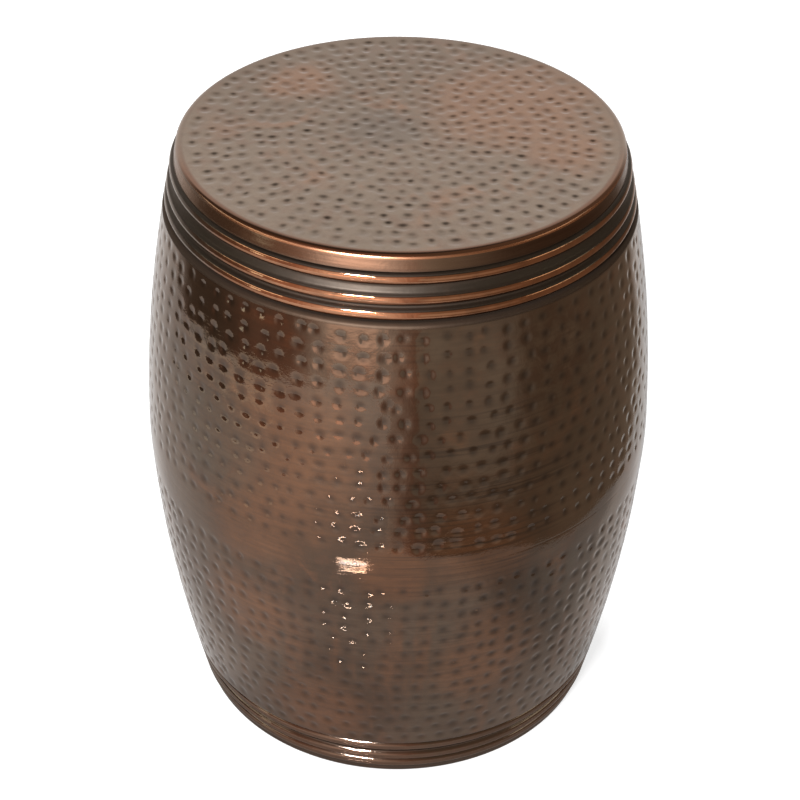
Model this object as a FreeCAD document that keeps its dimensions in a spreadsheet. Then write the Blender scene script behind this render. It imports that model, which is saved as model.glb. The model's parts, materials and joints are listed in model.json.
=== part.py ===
"""Hammered copper drum side table: two spun sheet halves welded at the belly, under a capped flat top.

Millimetres, +Z up. The origin is on the floor, at the middle of the drum. The bottom is open, and
four push-in rubber feet under the rim flange carry the table.
"""
import FreeCAD, Part
import math
import os
import Sketcher

doc = FreeCAD.newDocument("drum_side_table")

# Driving sizes, in millimetres, degrees or counts
SIZES = {
    "overall_height": 457,
    "top_diameter": 306,
    "belly_diameter": 366,
    "rim_diameter": 306,
    "sheet_gauge": 1.2,
    "body_arc_radius": 1040,
    "top_corner": 3,
    "skirt_height": 11.3,
    "neck_corner": 3.4,
    "neck_flange": 14,
    "braze_clearance": 0.2,
    "bead_radius": 4.5,
    "groove_depth": 2.5,
    "bead_taper": 0.21,
    "top_bead_spacing": 13.2,
    "low_bead_spacing": 9.9,
    "shoulder_rise": 1.4,
    "shoulder_drop": 2.5,
    "rim_corner": 3,
    "rim_bead_height": 10.5,
    "rim_bead_spacing": 9.3,
    "base_bead_spacing": 12.2,
    "lap_height": 8,
    "lap_clearance": 0.3,
    "joggle_run": 3,
    "weld_width": 2.4,
    "brace_width": 20,
    "brace_thickness": 3,
    "brace_lap": 8,
    "brace_crank_run": 8,
    "brace_crank_margin": 1,
    "brace_weld_leg": 2,
    "foot_count": 4,
    "first_foot_angle": 45,
    "foot_standoff": 3,
    "foot_diameter": 20,
    "foot_chamfer": 0.8,
    "foot_inset": 2,
    "stem_diameter": 8,
    "stem_clearance": 0.2,
    "barb_diameter": 11,
    "barb_tip_diameter": 5,
    "barb_height": 5,
}

sheet = doc.addObject("Spreadsheet::Sheet", "Sizes")
for row, (alias, number) in enumerate(SIZES.items(), start=1):
    sheet.set(f"A{row}", alias)
    sheet.set(f"B{row}", str(number))
    sheet.setAlias(f"B{row}", alias)
doc.recompute()


def size(alias):
    """The sheet's cell, as an expression."""
    return f"Sizes.{alias}"


def now(expression):
    """The number that an expression has at the present sizes."""
    return float(sheet.evalExpression(expression))


# Sizes that follow from the driving ones
GAUGE = size("sheet_gauge")
TOP_Z = size("overall_height")
RIM_Z = size("foot_standoff")
SEAM_Z = f"({TOP_Z} + {RIM_Z}) / 2"
TOP_R = f"({size('top_diameter')} / 2)"
BELLY_R = f"({size('belly_diameter')} / 2)"
RIM_R = f"({size('rim_diameter')} / 2)"

# The neck stands inside the top's skirt, and its flange carries the top
NECK_R = f"({TOP_R} - {GAUGE} - {size('braze_clearance')})"
NECK_Z = f"({TOP_Z} - {GAUGE})"
NECK_OPENING_R = f"({NECK_R} - {size('neck_flange')})"

# Three rolled beads at each end, with grooves between them
BEAD = size("bead_radius")
GROOVE = size("groove_depth")
TAPER = size("bead_taper")
HALF_BEAD = f"sqrt({BEAD}^2 - ({BEAD} - {GROOVE})^2)"
HALF_BEAD_INSIDE = f"sqrt(({BEAD} - {GAUGE})^2 - ({BEAD} - {GROOVE} - {GAUGE})^2)"
TOP_BEADS = []
TOP_BEADS.append((f"({NECK_R} + {BEAD})",
                  f"({TOP_Z} - {size('skirt_height')} - {size('braze_clearance')} - {BEAD})"))
for spacing in (size("top_bead_spacing"), size("low_bead_spacing")):
    peak, level = TOP_BEADS[-1]
    TOP_BEADS.append((f"({peak} + {TAPER} * {spacing})", f"({level} - {spacing})"))
RIM_BEADS = []
RIM_BEADS.append((f"({RIM_R} + {GROOVE})", f"({RIM_Z} + {size('rim_bead_height')})"))
for spacing in (size("rim_bead_spacing"), size("base_bead_spacing")):
    peak, level = RIM_BEADS[-1]
    RIM_BEADS.append((f"({peak} + {TAPER} * {spacing})", f"({level} + {spacing})"))

# The barrelled body runs from a shoulder under the beads to the belly
SHOULDER_R = f"({TOP_BEADS[-1][0]} + {size('shoulder_rise')})"
SHOULDER_Z = f"({TOP_BEADS[-1][1]} - {HALF_BEAD} - {size('shoulder_drop')})"
BASE_SHOULDER_R = f"({RIM_BEADS[-1][0]} + {size('shoulder_rise')})"
BASE_SHOULDER_Z = f"({RIM_BEADS[-1][1]} + {HALF_BEAD} + {size('shoulder_drop')})"
UPPER_EDGE_Z = f"({SEAM_Z} + {size('weld_width')} / 2)"
LOWER_EDGE_Z = f"({SEAM_Z} - {size('weld_width')} / 2)"
SPIGOT_R = f"({BELLY_R} - {GAUGE} - {size('lap_clearance')})"
SPIGOT_TOP_Z = f"({UPPER_EDGE_Z} + {size('lap_height')})"
BODY_LEAN = f"(({BELLY_R} - {SHOULDER_R}) / ({SHOULDER_Z} - {UPPER_EDGE_Z}))"
SPIGOT_TOP_R = f"({SPIGOT_R} - {BODY_LEAN} * {size('lap_height')})"

# The feet stand on a circle inside the rim's corner, and the rim flange is just wide enough for them
FOOT_R = f"({size('foot_diameter')} / 2)"
FOOT_CIRCLE_R = f"({RIM_R} - {size('rim_corner')} - {size('foot_inset')} - {FOOT_R})"
MOUTH_R = f"({FOOT_CIRCLE_R} - {FOOT_R} - {size('foot_inset')})"


def plane(body, role):
    """One of a body's own origin planes or axes."""
    return next(item for item in body.Origin.OriginFeatures if item.Role == role)


def new_body(label):
    body = doc.addObject("PartDesign::Body", label)
    body.Label = label
    return body


def new_sketch(body, role):
    sketch = body.newObject("Sketcher::SketchObject", body.Name + "_outline")
    sketch.AttachmentSupport = [(plane(body, role), "")]
    sketch.MapMode = "FlatFace"
    return sketch


def arc_edge(start, end, radius):
    """The short arc from start to end. A positive radius turns left on the way, a negative one right."""
    chord = end - start
    rise = math.sqrt(max(radius ** 2 - chord.Length ** 2 / 4, 0))
    left = FreeCAD.Vector(-chord.y, chord.x, 0).normalize()
    centre = (start + end) / 2 + left * math.copysign(rise, radius)
    first, last = (start, end) if radius > 0 else (end, start)
    angles = [math.atan2(point.y - centre.y, point.x - centre.x) for point in (first, last)]
    if angles[1] < angles[0]:
        angles[1] += 2 * math.pi
    circle = Part.Circle(centre, FreeCAD.Vector(0, 0, 1), abs(radius))
    return Part.ArcOfCircle(circle, *angles)


def bind(sketch, constraint, expression):
    sketch.setExpression(f"Constraints[{constraint}]", expression)


def outline(sketch, corners):
    """Draws a closed outline whose every corner and arc is bound to the sheet.

    A corner is (across, up) or (across, up, turn, radius): with the last two, the edge that leaves the
    corner is an arc, which turns left (1) or right (-1) on its way. An across of "0" is on the axis.
    """
    START, END, ORIGIN, AXIS = 1, 2, -1, -2
    places = [FreeCAD.Vector(now(corner[0]), now(corner[1]), 0) for corner in corners]
    leaves = []
    arrives = []
    for index, corner in enumerate(corners):
        start = places[index]
        end = places[(index + 1) % len(places)]
        if len(corner) == 2:
            edge = sketch.addGeometry(Part.LineSegment(start, end))
            turn = 1
        else:
            turn = corner[2]
            edge = sketch.addGeometry(arc_edge(start, end, turn * now(corner[3])))
        leaves.append((edge, START if turn > 0 else END))
        arrives.append((edge, END if turn > 0 else START))
    for index, corner in enumerate(corners):
        sketch.addConstraint(Sketcher.Constraint("Coincident", *arrives[index - 1], *leaves[index]))
    for index, corner in enumerate(corners):
        if corner[0] == "0":
            sketch.addConstraint(Sketcher.Constraint("PointOnObject", *leaves[index], AXIS))
        else:
            across = Sketcher.Constraint("DistanceX", ORIGIN, START, *leaves[index], places[index].x)
            bind(sketch, sketch.addConstraint(across), corner[0])
        up = Sketcher.Constraint("DistanceY", ORIGIN, START, *leaves[index], places[index].y)
        bind(sketch, sketch.addConstraint(up), corner[1])
        if len(corner) > 2:
            bend = Sketcher.Constraint("Radius", leaves[index][0], now(corner[3]))
            bind(sketch, sketch.addConstraint(bend), corner[3])


def turned(label, corners):
    """A body of revolution about the Z axis, from its half section."""
    body = new_body(label)
    sketch = new_sketch(body, "XZ_Plane")
    outline(sketch, corners)
    turn = body.newObject("PartDesign::Revolution", label + "_turned")
    turn.Profile = sketch
    turn.ReferenceAxis = (sketch, ["V_Axis"])
    turn.Angle = 360
    return body


def bead_outside(bead, first=1):
    """A bead's outer face between its two grooves: from top to bottom, or from bottom to top with -1."""
    peak, level = bead
    edge = f"({peak} - {GROOVE})"
    signs = ("+", "-") if first > 0 else ("-", "+")
    return [(edge, f"({level} {signs[0]} {HALF_BEAD})", -first, BEAD),
            (edge, f"({level} {signs[1]} {HALF_BEAD})")]


def bead_inside(bead, first=1):
    """The same bead's inner face, one gauge in."""
    peak, level = bead
    edge = f"({peak} - {GROOVE} - {GAUGE})"
    signs = ("+", "-") if first > 0 else ("-", "+")
    return [(edge, f"({level} {signs[0]} {HALF_BEAD_INSIDE})", -first, f"({BEAD} - {GAUGE})"),
            (edge, f"({level} {signs[1]} {HALF_BEAD_INSIDE})")]


def top_panel():
    """The flat hammered top, with its rounded corner and the skirt that hides the neck."""
    corner = size("top_corner")
    skirt_z = f"({TOP_Z} - {size('skirt_height')})"
    inside_r = f"({TOP_R} - {GAUGE})"
    return turned("top_panel", [
        ("0", TOP_Z),
        (f"({TOP_R} - {corner})", TOP_Z, -1, corner),
        (TOP_R, f"({TOP_Z} - {corner})"),
        (TOP_R, skirt_z),
        (inside_r, skirt_z),
        (inside_r, f"({TOP_Z} - {corner})", 1, f"({corner} - {GAUGE})"),
        (f"({TOP_R} - {corner})", NECK_Z),
        ("0", NECK_Z),
    ])


def upper_shell():
    """The upper half: flange, neck, three beads and the body down to the belly."""
    corner = size("neck_corner")
    neck_inside_r = f"({NECK_R} - {GAUGE})"
    bead_peak, bead_z = TOP_BEADS[0]
    bead_top_z = f"({bead_z} + {BEAD})"
    bead_ceiling_z = f"({bead_z} + {BEAD} - {GAUGE})"
    arc = size("body_arc_radius")
    return turned("upper_shell", [
        (NECK_OPENING_R, NECK_Z),
        (f"({NECK_R} - {corner})", NECK_Z, -1, corner),
        (NECK_R, f"({NECK_Z} - {corner})"),
        (NECK_R, bead_top_z, -1, BEAD),
        bead_outside(TOP_BEADS[0])[1],
        *bead_outside(TOP_BEADS[1]),
        *bead_outside(TOP_BEADS[2]),
        (SHOULDER_R, SHOULDER_Z, -1, arc),
        (BELLY_R, UPPER_EDGE_Z),
        (f"({BELLY_R} - {GAUGE})", UPPER_EDGE_Z, 1, f"({arc} - {GAUGE})"),
        (f"({SHOULDER_R} - {GAUGE})", SHOULDER_Z),
        *bead_inside(TOP_BEADS[2], -1),
        *bead_inside(TOP_BEADS[1], -1),
        bead_inside(TOP_BEADS[0], -1)[0],
        (NECK_R, bead_ceiling_z),
        (neck_inside_r, bead_ceiling_z),
        (neck_inside_r, f"({NECK_Z} - {corner})", 1, f"({corner} - {GAUGE})"),
        (f"({NECK_R} - {corner})", f"({NECK_Z} - {GAUGE})"),
        (NECK_OPENING_R, f"({NECK_Z} - {GAUGE})"),
    ])


def foot_place(index):
    """Where a foot's centre is: (across, along), as expressions."""
    angle = f"(({size('first_foot_angle')} + 360 * {index} / {size('foot_count')}) * 1 deg)"
    return f"({FOOT_CIRCLE_R} * cos{angle})", f"({FOOT_CIRCLE_R} * sin{angle})"


def lower_shell():
    """The lower half: a stepped-in spigot at the belly, three beads, the rim and its foot flange."""
    corner = size("rim_corner")
    arc = size("body_arc_radius")
    body = turned("lower_shell", [
        (f"({SPIGOT_TOP_R} - {GAUGE})", SPIGOT_TOP_Z),
        (SPIGOT_TOP_R, SPIGOT_TOP_Z),
        (SPIGOT_R, LOWER_EDGE_Z),
        (BELLY_R, LOWER_EDGE_Z, -1, arc),
        (BASE_SHOULDER_R, BASE_SHOULDER_Z),
        *bead_outside(RIM_BEADS[2]),
        *bead_outside(RIM_BEADS[1]),
        *bead_outside(RIM_BEADS[0]),
        (RIM_R, f"({RIM_Z} + {corner})", -1, corner),
        (f"({RIM_R} - {corner})", RIM_Z),
        (MOUTH_R, RIM_Z),
        (MOUTH_R, f"({RIM_Z} + {GAUGE})"),
        (f"({RIM_R} - {corner})", f"({RIM_Z} + {GAUGE})", 1, f"({corner} - {GAUGE})"),
        (f"({RIM_R} - {GAUGE})", f"({RIM_Z} + {corner})"),
        *bead_inside(RIM_BEADS[0], -1),
        *bead_inside(RIM_BEADS[1], -1),
        *bead_inside(RIM_BEADS[2], -1),
        (f"({BASE_SHOULDER_R} - {GAUGE})", BASE_SHOULDER_Z, 1, f"({arc} - {GAUGE})"),
        (f"({BELLY_R} - {GAUGE})", f"({LOWER_EDGE_Z} - {size('joggle_run')})"),
        (f"({SPIGOT_R} - {GAUGE})", LOWER_EDGE_Z),
    ])
    hole = body.newObject("Sketcher::SketchObject", "foot_hole_outline")
    hole.AttachmentSupport = [(plane(body, "XY_Plane"), "")]
    hole.MapMode = "FlatFace"
    across, along = foot_place(0)
    hole_r = f"({size('stem_diameter')} / 2 + {size('stem_clearance')})"
    centre = FreeCAD.Vector(now(across), now(along), 0)
    hole.addGeometry(Part.Circle(centre, FreeCAD.Vector(0, 0, 1), now(hole_r)))
    bind(hole, hole.addConstraint(Sketcher.Constraint("DistanceX", -1, 1, 0, 3, centre.x)), across)
    bind(hole, hole.addConstraint(Sketcher.Constraint("DistanceY", -1, 1, 0, 3, centre.y)), along)
    bind(hole, hole.addConstraint(Sketcher.Constraint("Radius", 0, now(hole_r))), hole_r)
    doc.recompute()
    whole = body.Shape.Volume
    drill = body.newObject("PartDesign::Pocket", "foot_hole")
    drill.Profile = hole
    drill.Reversed = True
    drill.setExpression("Length", f"{RIM_Z} + {corner}")
    doc.recompute()
    pattern = body.newObject("PartDesign::PolarPattern", "foot_holes")
    pattern.Originals = [drill]
    pattern.Axis = (plane(body, "Z_Axis"), [""])
    pattern.Angle = 360
    pattern.setExpression("Occurrences", size("foot_count"))
    body.Tip = pattern
    doc.recompute()
    assert body.Shape.Volume < whole, "the foot holes cut nothing"
    return body


def belly_weld():
    """The weld run that fills the step between the halves, ground flush with the belly."""
    inside_r = f"({BELLY_R} - {GAUGE})"
    return turned("belly_weld", [
        (inside_r, LOWER_EDGE_Z),
        (BELLY_R, LOWER_EDGE_Z),
        (BELLY_R, UPPER_EDGE_Z),
        (inside_r, UPPER_EDGE_Z),
    ])


def top_seam_weld():
    """The fillet weld inside, between the top and the edge of the neck flange."""
    return turned("top_seam_weld", [
        (f"({NECK_OPENING_R} - {GAUGE})", NECK_Z),
        (NECK_OPENING_R, NECK_Z),
        (NECK_OPENING_R, f"({NECK_Z} - {GAUGE})"),
    ])


# The brace bears on the top, and its cranked ends pass under the neck flange
BRACE_END = f"({NECK_OPENING_R} + {size('brace_lap')})"
CRANK_LOW = f"({NECK_OPENING_R} - {GAUGE} - {size('brace_crank_margin')})"
CRANK_HIGH = f"({CRANK_LOW} - {size('brace_crank_run')})"
BRACE_HALF = f"({size('brace_width')} / 2)"
BRACE_LOW_Z = f"({NECK_Z} - {GAUGE})"
BRACE_T = size("brace_thickness")


def brace_piece(label, role, corners):
    """A flat bar from its side view, as wide as the brace."""
    body = new_body(label)
    sketch = new_sketch(body, role)
    outline(sketch, corners)
    pad = body.newObject("PartDesign::Pad", label + "_bar")
    pad.Profile = sketch
    pad.setExpression("Length", size("brace_width"))
    pad.SideType = "Symmetric"
    return body


def brace_side(sign):
    """Half of a bar's side view: (top points from the middle outwards, bottom points back in)."""
    ends = [CRANK_HIGH, CRANK_LOW, BRACE_END]
    levels = [NECK_Z, BRACE_LOW_Z, BRACE_LOW_Z]
    top = [(f"({sign} * {across})", level) for across, level in zip(ends, levels)]
    bottom = [(across, f"({level} - {BRACE_T})") for across, level in reversed(top)]
    return top, bottom


def brace_bar():
    """The brace's long bar, right across under the top."""
    right_top, right_bottom = brace_side(1)
    left_top, left_bottom = brace_side(-1)
    return brace_piece("brace_bar", "XZ_Plane",
                       left_top[::-1] + right_top + right_bottom + left_bottom[::-1])


def brace_arm(number, sign):
    """One of two short arms that butt against the long bar."""
    top, bottom = brace_side(sign)
    root = f"({sign} * {BRACE_HALF})"
    return brace_piece(f"brace_arm_{number}", "YZ_Plane",
                       [(root, NECK_Z), *top, *bottom, (root, f"({NECK_Z} - {BRACE_T})")])


def rubber_foot(index):
    """A push-in foot: a pad under the flange, a stem through it and a barb above it."""
    stem_r = f"({size('stem_diameter')} / 2)"
    grip_z = f"({RIM_Z} + {GAUGE})"
    chamfer = size("foot_chamfer")
    body = turned(f"rubber_foot_{index + 1}", [
        ("0", "0"),
        (f"({FOOT_R} - {chamfer})", "0"),
        (FOOT_R, chamfer),
        (FOOT_R, RIM_Z),
        (stem_r, RIM_Z),
        (stem_r, grip_z),
        (f"({size('barb_diameter')} / 2)", grip_z),
        (f"({size('barb_tip_diameter')} / 2)", f"({grip_z} + {size('barb_height')})"),
        ("0", f"({grip_z} + {size('barb_height')})"),
    ])
    across, along = foot_place(index)
    body.setExpression("Placement.Base.x", across)
    body.setExpression("Placement.Base.y", along)
    return body


def weld_prism(name, sizes, rotation, lift):
    """A three-cornered weld run: its section shrinks from a full leg to nothing along its own Y."""
    prism = doc.addObject("Part::Wedge", name)
    for side, expression in sizes.items():
        prism.setExpression(side, expression)
    prism.Placement = FreeCAD.Placement(FreeCAD.Vector(0, 0, 0), rotation)
    prism.setExpression("Placement.Base.z", lift)
    return prism


def weld_group(label, sizes, own_turn, lift):
    """The same weld at each of the brace's four arms, as one group."""
    prisms = []
    for quarter in range(4):
        rotation = FreeCAD.Rotation(FreeCAD.Vector(0, 0, 1), 90 * quarter) * own_turn
        prisms.append(weld_prism(f"{label}_{quarter + 1}", sizes, rotation, lift))
    group = doc.addObject("Part::Compound", label)
    group.Label = label
    group.Links = prisms
    return group


def brace_joint_welds():
    """Upright fillets in the corners where the arms meet the long bar."""
    far = f"({BRACE_HALF} + {size('brace_weld_leg')})"
    sizes = {"Xmin": BRACE_HALF, "Xmax": far, "X2min": BRACE_HALF, "X2max": BRACE_HALF,
             "Ymin": BRACE_HALF, "Ymax": far,
             "Zmin": f"-{BRACE_T}", "Zmax": "0", "Z2min": f"-{BRACE_T}", "Z2max": "0"}
    return weld_group("brace_joint_welds", sizes, FreeCAD.Rotation(), NECK_Z)


def brace_end_welds():
    """Fillets between the ends of the brace and the underside of the neck flange."""
    far = f"({BRACE_END} + {size('brace_weld_leg')})"
    sizes = {"Xmin": BRACE_END, "Xmax": far, "X2min": BRACE_END, "X2max": BRACE_END,
             "Ymin": "0", "Ymax": size("brace_weld_leg"),
             "Zmin": f"-{BRACE_HALF}", "Zmax": BRACE_HALF, "Z2min": f"-{BRACE_HALF}", "Z2max": BRACE_HALF}
    hang_down = FreeCAD.Rotation(FreeCAD.Vector(1, 0, 0), -90)
    return weld_group("brace_end_welds", sizes, hang_down, BRACE_LOW_Z)


nodes = [
    top_panel(),
    top_seam_weld(),
    upper_shell(),
    belly_weld(),
    lower_shell(),
    brace_bar(),
    brace_arm(1, 1),
    brace_arm(2, -1),
    brace_joint_welds(),
    brace_end_welds(),
]
nodes += [rubber_foot(index) for index in range(SIZES["foot_count"])]
doc.recompute()

for item in doc.Objects:
    if "Invalid" in item.State or "Error" in item.State:
        raise RuntimeError(f"{item.Label} failed: {item.State}")
for node in nodes:
    if node.Shape.isNull() or not node.Shape.isValid():
        raise RuntimeError(f"{node.Label} has no valid shape")

os.makedirs("parts", exist_ok=True)
for node in nodes:
    node.Shape.exportStep(f"parts/{node.Label}.step")
    print(f"{node.Label}: {len(node.Shape.Solids)} solids, {node.Shape.Volume:.0f} mm3")
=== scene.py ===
"""Hammered antique-copper drum side table: its looks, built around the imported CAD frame. Metres, +Z up."""
import json
import math

import bpy
import numpy as np
from mathutils import Matrix, Vector


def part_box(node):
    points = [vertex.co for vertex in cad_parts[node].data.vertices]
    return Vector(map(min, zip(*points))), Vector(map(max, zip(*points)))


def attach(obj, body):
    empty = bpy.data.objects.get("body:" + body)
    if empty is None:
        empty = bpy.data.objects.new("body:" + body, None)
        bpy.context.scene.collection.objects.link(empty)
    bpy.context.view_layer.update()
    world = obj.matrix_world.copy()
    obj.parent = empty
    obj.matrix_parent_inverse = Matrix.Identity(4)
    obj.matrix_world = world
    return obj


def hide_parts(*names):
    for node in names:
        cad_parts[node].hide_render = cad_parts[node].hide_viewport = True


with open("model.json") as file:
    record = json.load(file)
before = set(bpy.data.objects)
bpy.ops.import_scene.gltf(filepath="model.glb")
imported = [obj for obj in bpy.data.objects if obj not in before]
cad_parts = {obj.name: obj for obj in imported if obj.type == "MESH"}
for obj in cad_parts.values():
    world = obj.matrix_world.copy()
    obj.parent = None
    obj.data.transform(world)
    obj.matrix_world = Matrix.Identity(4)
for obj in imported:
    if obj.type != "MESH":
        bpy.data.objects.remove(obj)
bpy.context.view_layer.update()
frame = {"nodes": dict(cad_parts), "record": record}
scene = bpy.context.scene
scene.view_settings.view_transform = "Standard"
dice = np.random.default_rng(41)
MM = 0.001


def node_sizes(node):
    """A CAD node's outer radius, lowest height and highest height, in millimetres."""
    low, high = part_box(node)
    return [round(float(size) / MM, 2) for size in (high[0], low[2], high[2])]


# Sizes of the drum's half section, in millimetres: from the frame, or as in the part's source
TOP_R, SKIRT_Z, TOP_Z = node_sizes("top_panel")
BELLY_R, LOWER_EDGE_Z, UPPER_EDGE_Z = node_sizes("belly_weld")
RIM_Z, SPIGOT_TOP_Z = node_sizes("lower_shell")[1:]
NECK_Z = node_sizes("upper_shell")[2]
SEAM_Z = (UPPER_EDGE_Z + LOWER_EDGE_Z) / 2
GAUGE = 1.2
NECK_R = 151.6
NECK_OPENING_R = 137.6
NECK_CORNER = 3.4
BEAD = 4.5
GROOVE = 2.5
HALF_BEAD = math.sqrt(BEAD ** 2 - (BEAD - GROOVE) ** 2)
HALF_BEAD_INSIDE = math.sqrt((BEAD - GAUGE) ** 2 - (BEAD - GROOVE - GAUGE) ** 2)
BEAD_SLOPE = 0.21
TOP_BEADS = [(156.1 + BEAD_SLOPE * (441.0 - level), level) for level in (441.0, 427.8, 417.9)]
RIM_BEADS = [(155.5 + BEAD_SLOPE * (level - 13.5), level) for level in (13.5, 22.8, 35.0)]
LAND = 2.5
SHOULDER_STEP = 1.4
SHOULDER = (TOP_BEADS[2][0] + SHOULDER_STEP, TOP_BEADS[2][1] - HALF_BEAD - LAND)
BASE_SHOULDER = (RIM_BEADS[2][0] + SHOULDER_STEP, RIM_BEADS[2][1] + HALF_BEAD + LAND)
BODY_ARC = 1040.0
RIM_R = 153.0
RIM_CORNER = 3.0
MOUTH_R = 126.0
SPIGOT_R = 181.5
SPIGOT_TOP_R = 180.58
JOGGLE = 3.0

# The visual model's own easing of that section, in millimetres and degrees
TOP_CORNER = 4.0
COLLAR_LEAN = 1.4
SKIRT_FOOT = 0.8
NECK_SLACK = 0.5
HIDDEN_BEAD_STEP = 0.9
SECOND_BEAD_TURN = 68
THIRD_BEAD_TURN = 76
SHOULDER_ROUND = 1.2
BELLY_EASE = 22.0
BELLY_SLOPE = 0.0269
TOP_SOFT = 0.25
UPPER_SOFT = 0.5
LOWER_SOFT = 0.4

# Hammer marks, in millimetres: how far across and how deep each is, and how they are spaced
TOP_MARK = (8.8, 0.72)
UPPER_MARK = (7.2, 0.48)
LOWER_MARK = (8.2, 0.58)
DEEPEST_PUSH = 1.05
FARTHEST_MARK = 11.0
OUTER_RING_R = 139.0
RING_GAP = 10.7
BODY_ROWS = 14
EVEN_ROWS = 6
ROW_SPACING = 13.3
INNER_RING_R = 3.0
MIDDLE_SPACING = 10.4
EDGE_SPACING = 12.3
CLEAR_OF_SHOULDER = 8.5
CLEAR_ABOVE_BELLY = 17.0
CLEAR_BELOW_BELLY = 21.0

# Chance in the marks: shares of their size, depth and stretch, and scatter in steps around and in mm along
SIZE_SPREAD = (0.84, 1.16)
DEPTH_SPREAD = (0.75, 1.1)
STRETCH_SPREAD = (0.88, 1.14)
EVEN_STAGGER = 0.1
BODY_BEARING_SCATTER = 0.11
BODY_SCATTER = 1.0
TOP_BEARING_SCATTER = 0.13
TOP_SCATTER = 1.1

# A mark's shape, in half widths: its core, the bowl around it, and the dark stain in it
CORE_REACH = 1.25
BOWL_REACH = 1.7
STAIN_REACH = 0.85

# Lengths of the sheet's gentle waves, and their depths on the top and the body, in millimetres
WAVE_LENGTHS = (70, 52, 41, 33, 27)
TOP_WAVE = 0.15
BODY_WAVE = 0.3

# Where those waves fade in or out: by height from the seam, and by radius on the top
SEAM_FADE = (4, 24)
SHOULDER_FADE = (180, 160)
TOP_EDGE_FADE = (148, 136)

# Wear, patina and painted shade, in millimetres: how wide the rubbed bands and the dark bands in grooves
# are, and where they lie. The dark bands under the beads, the shoulder and the skirt are patina and painted
# shade.
WEAR_DROP = 0.3
RUBBED_BAND = 3.3
GROOVE_DARK_BAND = 0.7
LEDGE_DARK_BAND = 1.6
FOOT_DARK_BAND = 0.9
RUBBED_CORNER_Z = TOP_Z - 2.4
RUBBED_CORNER_IN = 0.5
RUBBED_CORNER_WIDE = 1.1
RUBBED_CORNER_HIGH = 1.2
DITCH_IN = 0.2

# Points around: hammered faces, smooth faces, hidden faces, and the middle of the top by radius
FINE = 960
PLAIN = 480
HIDDEN = 240
TOP_COUNTS = ((8, 60), (18, 120), (38, 240), (80, 480))
SHARP_ANGLE = 50

# Where the rings' spacing and count change, in millimetres
UNDER_CORNER_R = 148.0
UNDER_RIM_R = 140.0
FLANGE_R = RIM_R - 4.0
FLANGE_Z = 10.0
HIDDEN_NECK_Z = SKIRT_Z + 2.0
ABOVE_LAP_Z = UPPER_EDGE_Z + 5.0
BELOW_LAP_Z = SEAM_Z - 30.0

# Steps along a section, in millimetres
CLOSE_STEP = 0.1
RING_BREAK = 0.01
CORNER_STEP = 0.6
BEAD_STEP = 0.8
HAMMERED_STEP = 1.2
INSIDE_BEAD_STEP = 1.5
SKIRT_STEP = 1.6
HIDDEN_STEP = 3.0
SPIGOT_STEP = 4.0
INSIDE_STEP = 8.0
UNDER_TOP_STEP = 9.0


def run_along(points):
    """The distance along a row of points, from 0 at the first."""
    return np.concatenate([[0], np.cumsum(np.hypot(*np.diff(points, axis=0).T))])


def place_at(points, along):
    """Radius and height at a distance along a row of points."""
    run = run_along(points)
    return [float(np.interp(along, run, points[:, axis])) for axis in (0, 1)]


def arc_points(start, end, radius, pitch):
    """Points on the short arc from start to end. A positive radius turns left on the way."""
    start, end = np.array(start), np.array(end)
    chord = end - start
    length = np.hypot(*chord)
    rise = math.sqrt(max(radius ** 2 - length ** 2 / 4, 0))
    left = np.array([-chord[1], chord[0]]) / length
    centre = (start + end) / 2 + left * math.copysign(rise, radius)
    first = math.atan2(*(start - centre)[::-1])
    sweep = 2 * math.asin(min(length / 2 / abs(radius), 1)) * math.copysign(1, radius)
    count = max(int(abs(sweep * radius) / pitch), 4)
    turn = first + sweep * np.linspace(0, 1, count + 1)
    return centre + abs(radius) * np.stack([np.cos(turn), np.sin(turn)], 1)


def trace(corners):
    """A close row of points along an open half section, given by its corners as (r, z).

    A corner with a third value leaves on an arc of that radius.
    """
    rows = []
    for corner, following in zip(corners, corners[1:]):
        start, end = corner[:2], following[:2]
        if len(corner) == 3:
            rows.append(arc_points(start, end, corner[2], CLOSE_STEP)[:-1])
        else:
            count = max(int(math.dist(start, end) / CLOSE_STEP), 2)
            rows.append(np.linspace(start, end, count + 1)[:-1])
    return np.vstack(rows + [np.array([corners[-1][:2]])])


def soften(points, reach):
    """Rounds the bends of a close row of points and keeps its two ends."""
    along = run_along(points)
    count = int(along[-1] / CLOSE_STEP)
    even = np.linspace(0, along[-1], count + 1)
    points = np.stack([np.interp(even, along, points[:, axis]) for axis in (0, 1)], 1)
    half = int(4 * reach / CLOSE_STEP)
    weight = np.exp(-0.5 * (np.arange(-half, half + 1) * CLOSE_STEP / reach) ** 2)
    weight /= weight.sum()
    before = 2 * points[0] - points[half:0:-1]
    after = 2 * points[-1] - points[-2:-half - 2:-1]
    padded = np.vstack([before, points, after])
    return np.stack([np.convolve(padded[:, axis], weight, "valid") for axis in (0, 1)], 1)


def smooth_step(low, high, value):
    """A share from 0 at low to 1 at high, level at both ends."""
    share = np.clip((value - low) / (high - low), 0, 1)
    return share * share * (3 - 2 * share)


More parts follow.
